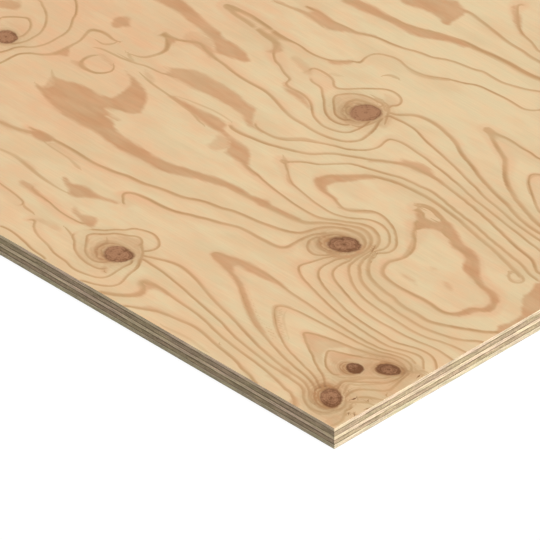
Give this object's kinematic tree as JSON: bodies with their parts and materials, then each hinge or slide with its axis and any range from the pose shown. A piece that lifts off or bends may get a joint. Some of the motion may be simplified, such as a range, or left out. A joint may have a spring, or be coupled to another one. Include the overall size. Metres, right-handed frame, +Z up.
{
  "type": "plywood sheet",
  "caption": "Flat rectangular sheet of softwood plywood: pine veneers glued crosswise, with a knotty figured face and square sawn edges, for floors, walls, roofs and joinery.",
  "frame": {"origin": "centre of the underside, on the plane that the back veneer rests on", "axes": "+X along the sheet's length and the grain of its face, +Y across its width, +Z up through its thickness from the back veneer to the face veneer"},
  "size_m": [2.44, 1.22, 0.018],
  "materials": {
    "face_veneer": "sanded",
    "crossband": "sawn",
    "centre_veneer": "sawn",
    "back_veneer": "sanded"
  },
  "bodies": {
    "root": {"back_veneer": "back_veneer", "lower_crossband": "crossband", "centre_veneer": "centre_veneer", "upper_crossband": "crossband", "face_veneer": "face_veneer"}
  },
  "joints": []
}
